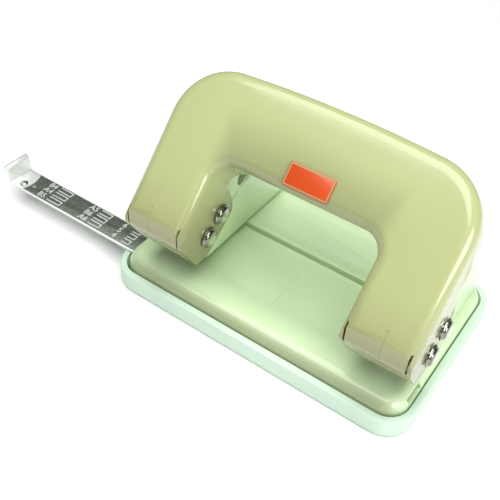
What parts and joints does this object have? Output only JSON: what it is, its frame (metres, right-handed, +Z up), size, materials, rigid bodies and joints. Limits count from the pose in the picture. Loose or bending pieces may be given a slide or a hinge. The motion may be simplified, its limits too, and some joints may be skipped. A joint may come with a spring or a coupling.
{
  "type": "two-hole punch",
  "caption": "Desk punch that cuts filing holes: a pressed arch handle on sprung brackets, a base plate with dies, a clip-on chip tray and a sliding paper gauge.",
  "frame": {"origin": "middle of the chip tray's flat underside, midway between the two punches", "axes": "+Z up; the paper goes in along +Y, so -Y is the front; the paper gauge slides out towards -X"},
  "size_m": [0.1764, 0.073, 0.0779],
  "materials": {
    "handle_paint": "gloss cream stove enamel on pressed steel",
    "base_paint": "semi-gloss pale green enamel on pressed steel",
    "tray_plastic": "soft pale moulded plastic",
    "label_paint": "orange enamelled plate, bare of any words",
    "strip_steel": "bright rolled steel strip",
    "bright_chrome": "polished chrome plate",
    "tool_steel": "ground tool steel",
    "spring_steel": "oiled spring steel",
    "zinc_steel": "bright zinc plate"
  },
  "bodies": {
    "base": {"base_plate": "base_paint", "left_bracket": "base_paint", "right_bracket": "base_paint", "left_bracket_rivet_front": "zinc_steel", "left_bracket_rivet_rear": "zinc_steel", "right_bracket_rivet_front": "zinc_steel", "right_bracket_rivet_rear": "zinc_steel", "left_die": "tool_steel", "right_die": "tool_steel", "left_spring_washer": "zinc_steel", "right_spring_washer": "zinc_steel", "left_return_spring": "spring_steel", "right_return_spring": "spring_steel", "left_gauge_guide": "zinc_steel", "right_gauge_guide": "zinc_steel", "gauge_leaf_spring": "spring_steel"},
    "tray": {"chip_tray": "tray_plastic"},
    "lever": {"handle": "handle_paint", "label_plate": "label_paint", "left_pivot_pin": "bright_chrome", "right_pivot_pin": "bright_chrome", "left_drive_pin": "bright_chrome", "right_drive_pin": "bright_chrome"},
    "left_punch_body": {"left_punch": "tool_steel"},
    "right_punch_body": {"right_punch": "tool_steel"},
    "gauge": {"gauge_strip": "strip_steel", "gauge_end_rivet": "bright_chrome"}
  },
  "joints": [
    {"name": "handle_press", "type": "hinge", "parent": "base", "child": "lever", "pos_m": [0, -0.0219, 0.0289], "axis": [-1, 0, 0], "range_deg": [0, 32], "stiffness_Nm_per_rad": 0.15, "springref_deg": -20.05},
    {"name": "left_punch_stroke", "type": "slide", "parent": "base", "child": "left_punch_body", "axis": [0, 0, -1], "range_m": [0, 0.0045], "deforming": ["left_return_spring"]},
    {"name": "right_punch_stroke", "type": "slide", "parent": "base", "child": "right_punch_body", "axis": [0, 0, -1], "range_m": [0, 0.0045], "deforming": ["right_return_spring"]},
    {"name": "gauge_slide", "type": "slide", "parent": "base", "child": "gauge", "axis": [-1, 0, 0], "range_m": [-0.058, 0.008]},
    {"name": "tray_pull_off", "type": "slide", "parent": "base", "child": "tray", "axis": [0, 0, -1], "range_m": [0, 0.02]}
  ],
  "couplings": [
    {"joint": "left_punch_stroke", "follows": "handle_press", "m_per_rad": 0.007894},
    {"joint": "right_punch_stroke", "follows": "handle_press", "m_per_rad": 0.007894}
  ]
}
